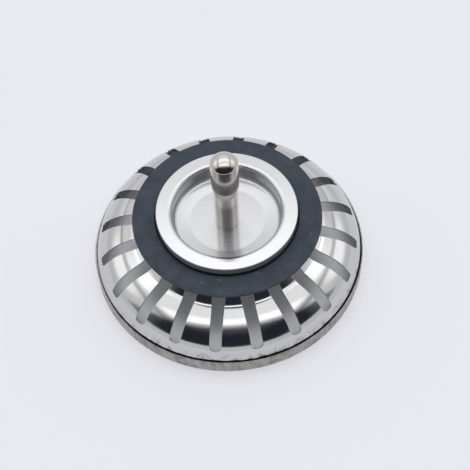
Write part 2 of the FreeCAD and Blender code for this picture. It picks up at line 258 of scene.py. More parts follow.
class StrainerSettings(PropertyGroup):
    """All that a user of the strainer can set."""
    basket: PointerProperty(name="Basket", description="Sizes of the basket", type=BasketSizes)
    seal: PointerProperty(name="Seal", description="Sizes of the seal", type=SealSizes)
    retainer: PointerProperty(name="Retainer", description="Sizes of the retainer", type=RetainerSizes)
    stem: PointerProperty(name="Stem", description="Sizes of the stem", type=StemSizes)
    knob: PointerProperty(name="Knob", description="Sizes of the knob and washers", type=KnobSizes)
    colours: PointerProperty(name="Colours", description="Colours of the finishes", type=FinishColours)
    studio: PointerProperty(name="Studio", description="Floor, light and camera", type=StudioSettings)


# Half sections
class Section:
    """Half section of a round piece, walked with the open air on its left."""

    def __init__(self):
        self.runs = []

    def line(self, start, end):
        along = end - start
        if along.length < SAME_PLACE:
            return
        outward = Vector((-along.y, along.x)).normalized()
        self.runs.append((along.length, 1, lambda share: (start + along * share, outward)))

    def arc(self, centre, radius, start, end):
        """Arc about a centre, from one angle to another."""
        sweep = end - start
        side = -1 if sweep > 0 else 1

        def place(share):
            turned_to = start + sweep * share
            spoke = Vector((math.cos(turned_to), math.sin(turned_to)))
            return centre + spoke * radius, spoke * side

        steps = max(3, math.ceil(abs(sweep) / ARC_STEP))
        self.runs.append((abs(sweep) * radius, steps, place))

    def bend(self, centre, radius, start, end):
        """Arc about a centre, the short way from one point to another."""
        begin = bearing(start - centre)
        self.arc(centre, radius, begin, begin + math.remainder(bearing(end - centre) - begin, math.tau))

    def length(self):
        return sum(run[0] for run in self.runs)

    def place(self, distance):
        """Point and outward normal at a distance from the start."""
        for run_length, _, place in self.runs:
            if distance <= run_length:
                return place(max(distance, 0) / run_length)
            distance -= run_length
        return place(1)

    def stations(self):
        """Distances at which the section has to be drawn."""
        done = 0
        distances = [0]
        for run_length, steps, _ in self.runs:
            distances += [done + run_length * step / steps for step in range(1, steps + 1)]
            done += run_length
        return distances

    def distance_at(self, radius, start, end):
        """Distance at which the section reaches a radius, between two distances where it only widens."""
        while end - start > SAME_PLACE:
            middle = (start + end) / 2
            if self.place(middle)[0].x < radius:
                start = middle
            else:
                end = middle
        return start


def bearing(vector):
    return math.atan2(vector.y, vector.x)


def slope_arc_centre(start, slope, end, radius):
    """Centre of an arc that follows on a straight slope down from start, and passes through end."""
    along = Vector((math.cos(slope), -math.sin(slope)))
    inward = Vector((along.y, -along.x))
    offset = start + inward * radius - end
    back = along.dot(offset)
    run = -back - math.sqrt(back ** 2 - offset.length_squared + radius ** 2)
    return start + along * run + inward * radius


def arc_centre(start, end, radius):
    """Centre of an arc that turns right on its way from start to end."""
    chord = end - start
    right = Vector((chord.y, -chord.x)).normalized()
    return (start + end) / 2 + right * math.sqrt(radius ** 2 - chord.length_squared / 4)


def rounded(corners, closed=True):
    """Section through (radius, height, rounding) corners."""
    section = Section()
    bends = []
    for number, (across, up, rounding) in enumerate(corners):
        here = Vector((across, up))
        if rounding == 0:
            bends.append((here, here, None, 0))
            continue
        ahead = (Vector(corners[(number + 1) % len(corners)][:2]) - here).normalized()
        behind = (Vector(corners[number - 1][:2]) - here).normalized()
        half_turn = (math.pi - behind.angle(ahead)) / 2
        reach = rounding * math.tan(half_turn)
        centre = here + (ahead + behind).normalized() * rounding / math.cos(half_turn)
        bends.append((here + behind * reach, here + ahead * reach, centre, rounding))
    for number, (start, end, centre, rounding) in enumerate(bends):
        if centre is not None:
            section.bend(centre, rounding, start, end)
        if closed or number + 1 < len(bends):
            section.line(end, bends[(number + 1) % len(bends)][0])
    return section


# Meshes
class Surface:
    """Vertices and faces of one piece, with a shading normal for each corner of a face."""

    def __init__(self):
        self.vertices = []
        self.outward = []
        self.faces = []
        self.normals = []

    def vertex(self, place, outward=None):
        self.vertices.append(place)
        self.outward.append(outward)
        return len(self.vertices) - 1

    def face(self, corners, normals=None):
        """Adds a face, wound so that it faces the way its normals point."""
        normals = normals or [self.outward[corner] for corner in corners]
        facing = geometry.normal([self.vertices[corner] for corner in corners])
        if facing.dot(sum(normals, Vector((0, 0, 0)))) < 0:
            corners = corners[::-1]
            normals = normals[::-1]
        self.faces.append(corners)
        self.normals.extend(normals)

    def mesh(self, name):
        made = bpy.data.meshes.new(name)
        made.from_pydata(self.vertices, [], self.faces, shade_flat=False)
        made.normals_split_custom_set(self.normals)
        return made


def spun(flat, azimuth):
    """A (radius, height) vector of a section, turned about the stem's axis."""
    return Vector((flat.x * math.cos(azimuth), flat.x * math.sin(azimuth), flat.y))


def turned(name, section, split=0.0):
    """Mesh of a section turned about the stem's axis, with a split of that width at +X."""
    surface = Surface()
    rings = {}
    whole = split == 0

    def azimuth(radius, step):
        start = math.asin(split / 2 / radius)
        return start + (math.tau - 2 * start) * step / TURN_STEPS

    def ring(point):
        key = (round(point.x / SAME_PLACE), round(point.y / SAME_PLACE))
        if key not in rings and point.x < SAME_PLACE:
            rings[key] = [surface.vertex(spun(point, 0))] * (TURN_STEPS + 1)
        elif key not in rings:
            made = [surface.vertex(spun(point, azimuth(point.x, step)))
                    for step in range(TURN_STEPS + (0 if whole else 1))]
            rings[key] = made + made[:1] if whole else made
        return rings[key]

    outline = []
    for _, steps, place in section.runs:
        rows = [place(step / steps) for step in range(steps + 1)]
        for (point, outward), (next_point, next_outward) in zip(rows, rows[1:]):
            here, there = ring(point), ring(next_point)
            outline.append(here)
            radius = max(point.x, next_point.x)
            for step in range(TURN_STEPS):
                turns = azimuth(radius, step), azimuth(radius, step + 1)
                corners = {
                    here[step]: spun(outward, turns[0]),
                    there[step]: spun(next_outward, turns[0]),
                    there[step + 1]: spun(next_outward, turns[1]),
                    here[step + 1]: spun(outward, turns[1]),
                }
                surface.face(list(corners), list(corners.values()))
    if not whole:
        for end, side in ((0, -1), (TURN_STEPS, 1)):
            corners = [ring_of[end] for ring_of in outline]
            surface.face(corners, [Vector((0, side, 0))] * len(corners))
    return surface.mesh(name)


def basket_section(basket, hole_radius):
    """Outer side of the bowl's sheet, from the hole over the dome and round the hem to the band's top."""
    skirt = basket.rim_radius - basket.gauge - basket.hem_gap
    step_top = basket.seat_radius - basket.seat_width
    crease = Vector((basket.seat_radius + basket.neck_run, SEAT_Z - basket.neck_drop))
    skirt_top = Vector((skirt, basket.band_height))
    centre = slope_arc_centre(crease, basket.dome_slope, skirt_top, basket.dome_radius)
    upright = math.pi / 2 - basket.dome_slope
    dome_start = centre + Vector((math.cos(upright), math.sin(upright))) * basket.dome_radius
    ledge_end = crease + Vector((1, -math.tan(basket.dome_slope))) * basket.ledge
    ledge_start = ledge_end - Vector((1, -math.tan(basket.ledge_slope))) * basket.ledge
    outer_bend = basket.bend + basket.gauge
    section = rounded([
        (hole_radius, FLOOR_Z, 0),
        (step_top - basket.step_run, FLOOR_Z, basket.bend),
        (step_top, SEAT_Z, outer_bend),
        (basket.seat_radius, SEAT_Z, outer_bend),
        (*ledge_start, basket.crease_bend),
        (*ledge_end, basket.ledge_bend),
        (dome_start.x, dome_start.y, 0),
    ], closed=False)
    dome_from = section.length()
    section.bend(centre, basket.dome_radius, dome_start, skirt_top)
    dome_to = section.length()
    fold_radius = basket.hem_gap / 2
    fold = Vector((skirt + fold_radius, RIM_Z + basket.gauge + fold_radius))
    section.line(skirt_top, Vector((skirt, fold.y)))
    section.arc(fold, fold_radius, math.pi, math.tau)
    band_inside = skirt + basket.hem_gap
    section.line(Vector((band_inside, fold.y)), Vector((band_inside, basket.band_height)))
    slot_top = section.distance_at(basket.seat_radius + basket.slot_inset, 0, dome_from)
    slot_low = section.distance_at(skirt - basket.slot_inset, dome_from, dome_to)
    return section, slot_top, slot_low


def pressed_basket(basket, hole_radius):
    """Mesh of the bowl: both sides of its sheet, the rounded walls of its slots and its two cut edges."""
    section, slot_top, slot_low = basket_section(basket, hole_radius)
    surface = Surface()
    edge = basket.edge_break
    gauge = basket.gauge
    count = basket.slot_count
    columns = RIB_COLUMNS
    pitch = math.tau / count
    whole_length = section.length()

    def slot_azimuth(number):
        return -math.pi / 2 + (number + 0.5) * pitch

    def half_width(distance):
        share = (distance - slot_top) / (slot_low - slot_top)
        return (basket.slot_width + basket.slot_taper * (0.5 - share)) / 2

    # a row is (distance, share along the section, share across, half the slot's width) of its outline
    stations = [min(max(s, edge), whole_length - edge) for s in section.stations()]
    quarter = [math.pi / 2 * step / SLOT_END_STEPS for step in range(SLOT_END_STEPS + 1)]
    top_half = half_width(slot_top)
    low_half = half_width(slot_low)
    top_middle = slot_top + top_half
    low_middle = slot_low - low_half
    rows = [(s, 0, 0, 0) for s in stations if s < slot_top - edge]
    rows += [(top_middle, -math.cos(turn), math.sin(turn), top_half) for turn in quarter]
    rows += [(s, 0, 1, half_width(s)) for s in stations if top_middle < s < low_middle]
    rows += [(low_middle, math.sin(turn), math.cos(turn), low_half) for turn in quarter]
    rows += [(s, 0, 0, 0) for s in stations if s > slot_low + edge]
    tips = [n for n, row in enumerate(rows) if row[1] != 0 and abs(row[2]) < SAME_PLACE]
    slotted = range(tips[0] + 1, tips[1])

    def on_sheet(distance, azimuth, depth, lean=0.0, away=Vector((0, 0, 0))):
        point, outward = section.place(distance)
        normal = spun(outward, azimuth)
        leaned = normal * math.cos(lean) + away * math.sin(lean)
        return surface.vertex(spun(point - outward * depth, azimuth), leaned.normalized())

    def grid(depth, lean):
        """Vertex rows of one side of the sheet, and a way to look them up by row, rib and column."""
        made = []
        for number, (anchor, along, across, half) in enumerate(rows):
            distance = anchor + (half + edge) * along
            radius = section.place(distance)[0].x
            gap = math.asin((half + edge) * across / radius) if number in slotted else 0
            last = columns + 1 if number in slotted else columns
            made.append([
                on_sheet(distance, slot_azimuth(rib) + gap + (pitch - 2 * gap) * step / columns, depth, lean)
                for rib in range(count) for step in range(last)])

        def look_up(row, rib, step):
            if row in slotted:
                return made[row][(rib % count) * (columns + 1) + step]
            return made[row][(rib * columns + step) % (count * columns)]

        for row in range(len(rows) - 1):
            for rib in range(count):
                for step in range(columns):
                    surface.face([look_up(row, rib, step), look_up(row + 1, rib, step),
                                  look_up(row + 1, rib, step + 1), look_up(row, rib, step + 1)])
        return look_up

    outside = grid(0, 0)
    inside = grid(gauge, math.pi)

    # lean of the normal and (inset, depth) of the rings between the two sides of a cut edge
    rings = []
    for step in (1, 2):
        lean = math.pi / 4 * step
        rings.append((lean, edge * (1 - math.sin(lean)), edge * (1 - math.cos(lean))))
    for step in (2, 3):
        lean = math.pi / 4 * step
        rings.append((lean, edge * (1 - math.sin(lean)), gauge - edge * (1 + math.cos(lean))))

    def close_edge(loops):
        """Joins the loops of one cut edge, from the outside of the sheet to its inside."""
        for loop, next_loop in zip(loops, loops[1:]):
            for place in range(len(loop)):
                after = (place + 1) % len(loop)
                surface.face([loop[place], next_loop[place], next_loop[after], loop[after]])

    # a slot's outline: rows down the side of its own rib, and back up the side of the rib before
    outline = [(tips[0], 1)] + [(row, 1) for row in slotted]
    outline += [(tips[1], 1)] + [(row, -1) for row in reversed(slotted)]

    def slot_loop(look_up, slot):
        return [look_up(row, slot, 0) if side > 0 else look_up(row, slot - 1, columns)
                for row, side in outline]

    for slot in range(count):
        middle = slot_azimuth(slot)
        loops = [slot_loop(outside, slot)]
        for lean, inset, depth in rings:
            loop = []
            for row, side in outline:
                anchor, along, across, half = rows[row]
                distance = anchor + (half + inset) * along
                point, outward = section.place(distance)
                azimuth = middle + side * math.asin((half + inset) * across / point.x)
                downhill = spun(Vector((outward.y, -outward.x)), azimuth)
                sideways = Vector((-math.sin(azimuth), math.cos(azimuth), 0)) * side
                away = -(downhill * along + sideways * across)
                loop.append(on_sheet(distance, azimuth, depth, lean, away))
            loops.append(loop)
        close_edge(loops + [slot_loop(inside, slot)])

    around = [(rib, step) for rib in range(count) for step in range(columns)]
    for row, at_end in ((0, False), (len(rows) - 1, True)):
        loops = [[outside(row, rib, step) for rib, step in around]]
        for lean, inset, depth in rings:
            distance = whole_length - inset if at_end else inset
            outward = section.place(distance)[1]
            downhill = Vector((outward.y, -outward.x)) * (1 if at_end else -1)
            loops.append([
                on_sheet(distance, azimuth, depth, lean, spun(downhill, azimuth))
                for azimuth in [slot_azimuth(rib) + pitch * step / columns for rib, step in around]])
        close_edge(loops + [[inside(row, rib, step) for rib, step in around]])
    return surface.mesh("pressed_basket")


def seal_section(seal):
    top = SEAL_Z + seal.thickness
    groove_z = top - seal.groove_depth
    groove_outer = seal.hub_radius + seal.groove_width
    fine = seal.rounding / 2
    return rounded([
        (seal.bore_radius, HUB_Z, fine),
        (seal.hub_radius - seal.hub_draft, HUB_Z, fine),
        (seal.hub_radius, groove_z, fine),
        (groove_outer, groove_z, fine),
        (groove_outer, top, fine),
        (seal.radius, top, seal.rounding),
        (seal.radius, top - seal.edge_height, seal.rounding),
        (seal.radius - seal.bevel_run, SEAL_Z, seal.rounding),
        (seal.bore_radius, SEAL_Z, fine),
    ])


def retainer_section(retainer, hole_radius):
    gauge = retainer.gauge
    edge = retainer.edge_break
    mouth = retainer.dish_radius + retainer.dish_draft
    flat_radius = retainer.dish_radius - retainer.floor_run
    wall_height = LIP_Z - FLOOR_Z - gauge - retainer.floor_rise
    slope = math.hypot(retainer.dish_draft, wall_height)
    outset = gauge * wall_height / (slope + retainer.dish_draft)
    # the floor leaves its flat in a wide bend, of the flat's own radius
    return rounded([
        (hole_radius, FLOOR_Z + gauge, edge),
        (flat_radius, FLOOR_Z + gauge, flat_radius),
        (retainer.dish_radius, FLOOR_Z + gauge + retainer.floor_rise, retainer.floor_bend),
        (mouth, LIP_Z, retainer.lip_bend),
        (retainer.lip_radius, LIP_Z, edge),
        (retainer.lip_radius, LIP_Z - gauge, edge),
        (mouth + outset, LIP_Z - gauge, edge),
        (retainer.dish_radius + outset, FLOOR_Z + retainer.floor_rise, gauge + retainer.floor_bend),
        (flat_radius, FLOOR_Z, flat_radius),
        (hole_radius, FLOOR_Z, edge),
    ])


def stem_section(stem):
    """The stem down to the recess in its foot, where the thread starts."""
    shoulder_z = HEAD_Z - stem.shoulder_drop
    recess_z = RING_Z + stem.recess_depth
    cap = Vector((0, shoulder_z + stem.head_length - stem.cap_radius))
    edge_radius = stem.head_radius - stem.cap_rounding
    edge_reach = stem.cap_radius - stem.cap_rounding
    edge = Vector((edge_radius, cap.y + math.sqrt(edge_reach ** 2 - edge_radius ** 2)))
    edge_angle = bearing(edge - cap)
    section = Section()
    section.arc(cap, stem.cap_radius, math.pi / 2, edge_angle)
    section.arc(edge, stem.cap_rounding, edge_angle, 0)
    below = rounded([
        (stem.head_radius, edge.y, 0),
        (stem.head_radius, shoulder_z + stem.head_chamfer, stem.foot_rounding),
        (stem.head_radius - stem.head_chamfer, shoulder_z, stem.foot_rounding),
        (stem.shank_radius, shoulder_z, stem.foot_rounding / 2),
        (stem.shank_radius, RING_Z, stem.foot_rounding),
        (stem.recess_radius, RING_Z, stem.foot_rounding),
        (stem.recess_radius, recess_z, stem.foot_rounding),
        (0, recess_z, 0),
    ], closed=False)
    section.runs += below.runs
    return section


def threaded_tail(stem):
    """Mesh of the stem's thread, a ridge that winds round the tail."""
    steps = THREAD_STEPS
    height = RING_Z + stem.recess_depth - TAIL_Z
    row_count = math.ceil(height / stem.thread_pitch * THREAD_ROWS)
    # steep enough to leave a flat of an eighth of the pitch at the crest
    flank = 2.3
    vertices = []
    for row in range(row_count + 1):
        z = TAIL_Z + height * row / row_count
        chamfered = stem.thread_radius - max(0, stem.thread_chamfer - (z - TAIL_Z))
        for step in range(steps):
            turn = step / steps
            phase = (z / stem.thread_pitch - turn) % 1
            rise = min(1, flank * min(phase, 1 - phase))
            radius = min(chamfered, stem.thread_radius - stem.thread_depth * (1 - rise))
            vertices.append((radius * math.cos(math.tau * turn), radius * math.sin(math.tau * turn), z))
    faces = []
    for row in range(row_count):
        for step in range(steps):
            after = (step + 1) % steps
            faces.append([row * steps + step, row * steps + after,
                          (row + 1) * steps + after, (row + 1) * steps + step])
    faces.append(list(reversed(range(steps))))
    faces.append([row_count * steps + step for step in range(steps)])
    made = bpy.data.meshes.new("stem_thread")
    made.from_pydata(vertices, [], faces, shade_flat=False)
    made.set_sharp_from_angle(angle=THREAD_CREASE)
    return made


def ring_section(stem):
    half = stem.ring_section / 2
    section = Section()
    section.arc(Vector((RING_RADIUS - half, RING_Z + half)), half, math.tau, 0)
    return section


def washer_section(knob, radius, low, high):
    edge = knob.edge_break
    return rounded([
        (knob.hole_radius, high, edge),
        (radius, high, edge),
        (radius, low, edge),
        (knob.hole_radius, low, edge),
    ])


def knob_section(knob):
    edge = knob.edge_break
    crown_z = KNOB_Z + knob.crown_height
    grip_z = crown_z + knob.grip_height
    collar_z = KNOB_TOP_Z - knob.collar_height
    bore_z = KNOB_TOP_Z - knob.bore_depth
    section = rounded([
        (0, bore_z, 0),
        (knob.bore_radius, bore_z, edge),
        (knob.bore_radius, KNOB_TOP_Z, edge),
        (knob.collar_radius, KNOB_TOP_Z, edge),
        (knob.collar_radius, collar_z, 0),
    ], closed=False)
    collar = Vector((knob.collar_radius, collar_z))
    grip = Vector((knob.radius, grip_z))
    waist = arc_centre(grip, collar, knob.waist_arc)
    section.bend(waist, knob.waist_arc, collar, grip)
    crown_edge = Vector((knob.radius, crown_z))
    section.line(grip, crown_edge)
    crown_radius = (knob.radius ** 2 + knob.crown_height ** 2) / (2 * knob.crown_height)
    section.bend(Vector((0, KNOB_Z + crown_radius)), crown_radius, crown_edge, Vector((0, KNOB_Z)))
    return section


# Materials
def add_node(tree, kind, inputs, **settings):
    """Adds a shader node with its settings, and sets or links its inputs.

    A node that is given as an input stands for its first output in use.
    """
    made = tree.nodes.new("ShaderNode" + kind)
    for name, value in settings.items():
        setattr(made, name, value)
    for name, value in inputs.items():
        if isinstance(value, Node):
            value = next(socket for socket in value.outputs if socket.enabled)
        if isinstance(value, NodeSocket):
            tree.links.new(value, made.inputs[name])
        else:
            made.inputs[name].default_value = value
    return made


def start_material(name):
    """An empty material, its node tree, and the object's own coordinates."""
    material = bpy.data.materials.new(name)
    material.use_nodes = True
    tree = material.node_tree
    tree.nodes.clear()
    return material, tree, add_node(tree, "TexCoord", {}).outputs["Object"]


def soft_region(tree, *limits):
    """Share of a region, which fades in from the start to the end of each (value, start, end) limit."""
    share = 1.0
    for value, start, end in limits:
        edge = add_node(tree, "MapRange", {"Value": value, "From Min": start, "From Max": end},
                        interpolation_type="SMOOTHSTEP")
        share = add_node(tree, "Math", {0: share, 1: edge}, operation="MULTIPLY")
    return share


def buffed_stainless(basket, colours):
    """Buffed 304 sheet: near mirror on the dome with a haze of polish, duller and marked round its foot,
    with painted shade along the fold.
    """
    material, tree, place = start_material("buffed_304_stainless")
    rim = basket.rim_radius
    band_top = basket.band_height
    gap = basket.hem_gap
    skirt = rim - basket.gauge - gap
    flat = add_node(tree, "VectorMath", {0: place, 1: (1, 1, 0)}, operation="MULTIPLY")
    radius = add_node(tree, "VectorMath", {0: flat}, operation="LENGTH")
    height = add_node(tree, "SeparateXYZ", {"Vector": place}).outputs["Z"]
    on_band = add_node(tree, "MapRange", {
        "Value": radius, "From Min": skirt + gap / 3, "From Max": skirt + gap * 2 / 3})
    haze = add_node(tree, "TexNoise", {"Vector": place, "Scale": 1 / (9 * MM), "Detail": 4.0})
    # wiping marks run up the foot of the dome, so their pattern is drawn out along the height
    drawn_out = add_node(tree, "VectorMath", {0: place, 1: (1, 1, 0.3)}, operation="MULTIPLY")
    marks = add_node(tree, "TexNoise", {
        "Vector": drawn_out, "Scale": 1 / (1.5 * MM), "Detail": 6.0, "Roughness": 0.65})
    residue = add_node(tree, "TexNoise", {
        "Vector": place, "Scale": 1 / (3 * MM), "Detail": 8.0, "Roughness": 0.7})
    dome_roughness = add_node(tree, "MapRange", {
        "Value": haze, "From Min": 0.35, "From Max": 0.7, "To Min": 0.07, "To Max": 0.14})
    band_roughness = add_node(tree, "MapRange", {
        "Value": marks, "From Min": 0.3, "From Max": 0.7, "To Min": 0.4, "To Max": 0.6})
    roughness = add_node(tree, "Mix", {"Factor": on_band, "A": dome_roughness, "B": band_roughness})

    # dried residue gathers in spots just above the fold, most on the camera's side
    bearing_to = add_node(tree, "VectorMath", {0: flat}, operation="NORMALIZE")
    frontness = add_node(tree, "VectorMath", {0: bearing_to, 1: STAIN_AND_SHADE_SIDE}, operation="DOT_PRODUCT")
    in_front = add_node(tree, "MapRange", {"Value": frontness, "From Min": -0.2, "From Max": 0.5})
    low_down = add_node(tree, "MapRange", {
        "Value": height, "From Min": band_top, "From Max": band_top + 3 * MM, "To Min": 1.0, "To Max": 0.0})
    spots = add_node(tree, "MapRange", {
        "Value": residue, "From Min": 0.5, "From Max": 0.62, "To Max": 0.85})
    gathered = add_node(tree, "Math", {0: low_down, 1: spots}, operation="MULTIPLY")
    band_share = add_node(tree, "MapRange", {"Value": in_front, "To Min": 0.25, "To Max": 0.55})
    side_share = add_node(tree, "Mix", {"Factor": on_band, "A": in_front, "B": band_share})
    stains = add_node(tree, "Math", {0: gathered, 1: side_share}, operation="MULTIPLY")
    streaks = add_node(tree, "MapRange", {
        "Value": marks, "From Min": 0.45, "From Max": 0.75, "To Max": 0.25})
    wiped = add_node(tree, "Math", {0: low_down, 1: streaks}, operation="MULTIPLY")

    # painted shade in a ragged dark line along the fold, from the dome's foot to the inner part of the
    # band's top, where the narrow gap's shade falls
    ragged = add_node(tree, "Math", {0: residue, 1: -1.2 * MM, 2: height}, operation="MULTIPLY_ADD")
    seam = add_node(tree, "MapRange", {
        "Value": ragged, "From Min": band_top - 0.1 * MM, "From Max": band_top - 0.3 * MM, "To Max": 0.95})
    above_foot = add_node(tree, "MapRange", {
        "Value": height, "From Min": band_top - 0.15 * MM, "From Max": band_top - 0.05 * MM})
    inner_part = add_node(tree, "MapRange", {
        "Value": radius, "From Min": rim - 0.28 * MM, "From Max": rim - 0.15 * MM,
        "To Min": 1.0, "To Max": 0.0})
    for share in (above_foot, in_front, inner_part):
        seam = add_node(tree, "Math", {0: seam, 1: share}, operation="MULTIPLY")

    base = add_node(tree, "Mix", {"Factor": on_band, 6: colours.buffed, 7: colours.band}, data_type="RGBA")
    # the stains and wiping marks are the steel's own; the fold's dark line is painted shade
    for share, mark in ((wiped, colours.stain), (stains, colours.stain), (seam, colours.fold_shade)):
        base = add_node(tree, "Mix", {"Factor": share, 6: base, 7: mark}, data_type="RGBA")

    # the press leaves the sheet slightly uneven
    waves = add_node(tree, "TexNoise", {"Vector": place, "Scale": 1 / (5 * MM), "Detail": 2.0})
    uneven = add_node(tree, "Bump", {"Height": waves, "Distance": 0.025 * MM, "Strength": 1.0})
    steel = add_node(tree, "BsdfPrincipled", {
        "Base Color": base, "Metallic": 1.0, "Roughness": roughness, "Normal": uneven})
    add_node(tree, "OutputMaterial", {"Surface": steel})
    return material


def satin_stainless(retainer, colours):
    """Satin 304 sheet, polished on a lathe: faint rings about the stem, and a haze over the dish's sheen."""
    material, tree, place = start_material("satin_304_stainless")
    mouth = retainer.dish_radius + retainer.dish_draft
    flat = add_node(tree, "VectorMath", {0: place, 1: (1, 1, 0)}, operation="MULTIPLY")
    radius = add_node(tree, "VectorMath", {0: flat}, operation="LENGTH")
    on_lip = add_node(tree, "MapRange", {
        "Value": radius, "From Min": mouth - 0.2 * MM, "From Max": mouth + 0.8 * MM})
    # polishing rings, drawn coarser than the real ones so that they show
    rings = add_node(tree, "TexNoise", {"W": radius, "Scale": 1 / (1.1 * MM), "Detail": 3.0},
                     noise_dimensions="1D")
    cloud = add_node(tree, "TexNoise", {"Vector": place, "Scale": 1 / (5 * MM), "Detail": 4.0})
    clouded = add_node(tree, "Math", {0: rings, 1: cloud}, operation="ADD")
    sheen_roughness = add_node(tree, "MapRange", {
        "Value": clouded, "From Min": 0.7, "From Max": 1.3, "To Min": 0.08, "To Max": 0.14})
    dish_haze = add_node(tree, "MapRange", {
        "Value": clouded, "From Min": 0.7, "From Max": 1.3, "To Min": 0.42, "To Max": 0.56})
    lip_haze = 0.1
    haze_share = add_node(tree, "Mix", {"Factor": on_lip, "A": dish_haze, "B": lip_haze})
    base = add_node(tree, "Mix", {"Factor": on_lip, 6: colours.drawn, 7: colours.satin}, data_type="RGBA")
    bump = add_node(tree, "Bump", {"Height": rings, "Distance": 0.0006 * MM, "Strength": 1.0})
    steel = {"Base Color": base, "Metallic": 1.0, "Normal": bump}
    sheen = add_node(tree, "BsdfPrincipled", {**steel, "Roughness": sheen_roughness})
    haze = add_node(tree, "BsdfPrincipled", {**steel, "Roughness": 0.45})
    seen = add_node(tree, "MixShader", {0: haze_share, 1: sheen, 2: haze})
    add_node(tree, "OutputMaterial", {"Surface": seen})
    return material


def turned_stainless(name, base, shine, groove):
    """Turned bar: a bright surface crossed by fine tool lines round the stem's axis."""
    material, tree, place = start_material(name)
    height = add_node(tree, "SeparateXYZ", {"Vector": place}).outputs["Z"]
    # tool lines, drawn coarser than the real ones so that they show
    lines = add_node(tree, "TexNoise", {"W": height, "Scale": 1 / (0.5 * MM), "Detail": 3.0},
                     noise_dimensions="1D")
    bump = add_node(tree, "Bump", {"Height": lines, "Distance": groove, "Strength": 1.0})
    cloud = add_node(tree, "TexNoise", {"Vector": place, "Scale": 1 / (3 * MM), "Detail": 4.0})
    roughness = add_node(tree, "MapRange", {
        "Value": cloud, "From Min": 0.35, "From Max": 0.7, "To Min": shine, "To Max": shine * 1.8})
    steel = add_node(tree, "BsdfPrincipled", {
        "Base Color": base, "Metallic": 1.0, "Roughness": roughness, "Normal": bump})
    add_node(tree, "OutputMaterial", {"Surface": steel})
    return material


def seal_rubber(seal, colours):
    """Moulded nitrile rubber: matt blue-grey with a paler bloom, a fine grain and a little dust, and painted
    light and shade round the hub.
    """
    material, tree, place = start_material("moulded_nitrile_rubber")
    flap_top = SEAL_Z + seal.thickness
    groove_middle = seal.hub_radius + seal.groove_width / 2
    bloom = add_node(tree, "TexNoise", {"Vector": place, "Scale": 1 / (4 * MM), "Detail": 6.0})
    bloomed = add_node(tree, "MapRange", {"Value": bloom, "From Min": 0.35, "From Max": 0.7})
    flap = add_node(tree, "Mix", {
        "Factor": bloomed, 6: colours.rubber, 7: colours.rubber_bloom}, data_type="RGBA")
    flat = add_node(tree, "VectorMath", {0: place, 1: (1, 1, 0)}, operation="MULTIPLY")
    radius = add_node(tree, "VectorMath", {0: flat}, operation="LENGTH")
    height = add_node(tree, "SeparateXYZ", {"Vector": place}).outputs["Z"]
    # painted shade in the groove and at the hub's foot, and painted light up the hub's side
    near_hub = add_node(tree, "MapRange", {
        "Value": radius, "From Min": groove_middle, "From Max": groove_middle + 0.2 * MM,
        "To Min": 1.0, "To Max": 0.0})
    hub_side = add_node(tree, "MapRange", {
        "Value": height, "From Min": flap_top + 0.25 * MM, "From Max": flap_top + 0.55 * MM})
    hub = add_node(tree, "Mix", {
        "Factor": hub_side, 6: colours.painted_groove_shade, 7: colours.painted_hub_light}, data_type="RGBA")
    clean = add_node(tree, "Mix", {"Factor": near_hub, 6: flap, 7: hub}, data_type="RGBA")
    specks = add_node(tree, "TexVoronoi", {"Vector": place, "Scale": 1 / (4.5 * MM)})
    speck = add_node(tree, "MapRange", {
        "Value": specks, "From Min": 0.03, "From Max": 0.06, "To Min": 0.6, "To Max": 0.0})
    dusted = add_node(tree, "Mix", {"Factor": speck, 6: clean, 7: colours.dust}, data_type="RGBA")
    # the mould's grain, drawn coarser than the real one so that it shows
    grain = add_node(tree, "TexNoise", {"Vector": place, "Scale": 1 / (0.35 * MM), "Detail": 3.0})
    bump = add_node(tree, "Bump", {"Height": grain, "Distance": 0.02 * MM, "Strength": 1.0})
    rubber = add_node(tree, "BsdfPrincipled", {
        "Base Color": dusted, "Roughness": 0.72, "Specular IOR Level": 0.35, "Normal": bump})
    add_node(tree, "OutputMaterial", {"Surface": rubber})
    return material


def ring_rubber(colours):
    """Black moulded rubber of a sealing ring, with a slight sheen of grease."""
    material, tree, place = start_material("black_ring_rubber")
    grease = add_node(tree, "TexNoise", {"Vector": place, "Scale": 1 / (0.8 * MM), "Detail": 2.0})
    roughness = add_node(tree, "MapRange", {"Value": grease, "To Min": 0.3, "To Max": 0.6})
    rubber = add_node(tree, "BsdfPrincipled", {"Base Color": colours.ring, "Roughness": roughness})
    add_node(tree, "OutputMaterial", {"Surface": rubber})
    return material


